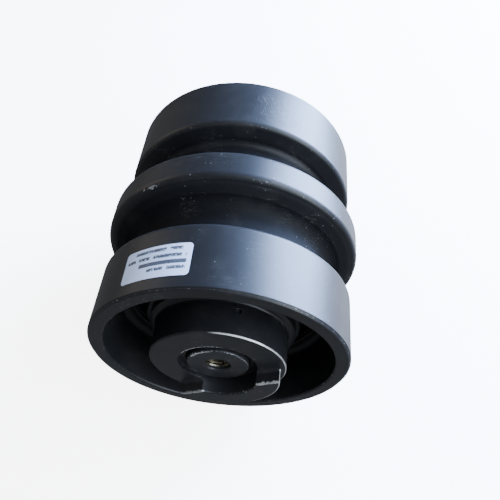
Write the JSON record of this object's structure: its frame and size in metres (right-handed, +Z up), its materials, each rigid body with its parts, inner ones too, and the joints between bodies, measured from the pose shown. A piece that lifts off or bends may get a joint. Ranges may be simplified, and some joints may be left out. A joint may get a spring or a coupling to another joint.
{
  "type": "track roller",
  "caption": "Bottom track roller: a shell with two treads and a middle flange turns on a fixed shaft between pinned end collars, sealed for life with oil.",
  "frame": {"origin": "middle of the roller, on its axis", "axes": "+Y along the roller axis towards the far end, the near end with the label faces -Y; +Z up, the pins are 12 degrees to the right of the top at the near end; the lug flats are turned 32 degrees about the axis"},
  "size_m": [0.2228, 0.2515, 0.2228],
  "materials": {
    "shell_paint": "satin black paint on forged steel",
    "collar_paint": "satin black paint, worn to bare steel on its edges",
    "shaft_paint": "satin black paint, bare oiled thread",
    "pin_steel": "ground",
    "plug_steel": "zinc plated",
    "bushing_bronze": "machined bronze on steel",
    "seal_iron": "lapped face, as-cast back",
    "seal_rubber": "moulded nitrile",
    "label_film": "matt printed film"
  },
  "bodies": {
    "fixed_shaft": {"shaft": "shaft_paint", "oil_plug": "plug_steel", "near_collar": "collar_paint", "near_fixed_seal": "seal_iron", "near_fixed_toric": "seal_rubber", "near_collar_oring": "seal_rubber", "near_collar_pin": "pin_steel", "far_collar": "collar_paint", "far_fixed_seal": "seal_iron", "far_fixed_toric": "seal_rubber", "far_collar_oring": "seal_rubber", "far_collar_pin": "pin_steel"},
    "turning_shell": {"roller_shell": "shell_paint", "label": "label_film", "near_bushing": "bushing_bronze", "near_turning_seal": "seal_iron", "near_turning_toric": "seal_rubber", "far_bushing": "bushing_bronze", "far_turning_seal": "seal_iron", "far_turning_toric": "seal_rubber"}
  },
  "joints": [
    {"name": "shell_spin", "type": "hinge", "parent": "fixed_shaft", "child": "turning_shell", "pos_m": [0, 0, 0], "axis": [0, 1, 0], "continuous": true}
  ]
}
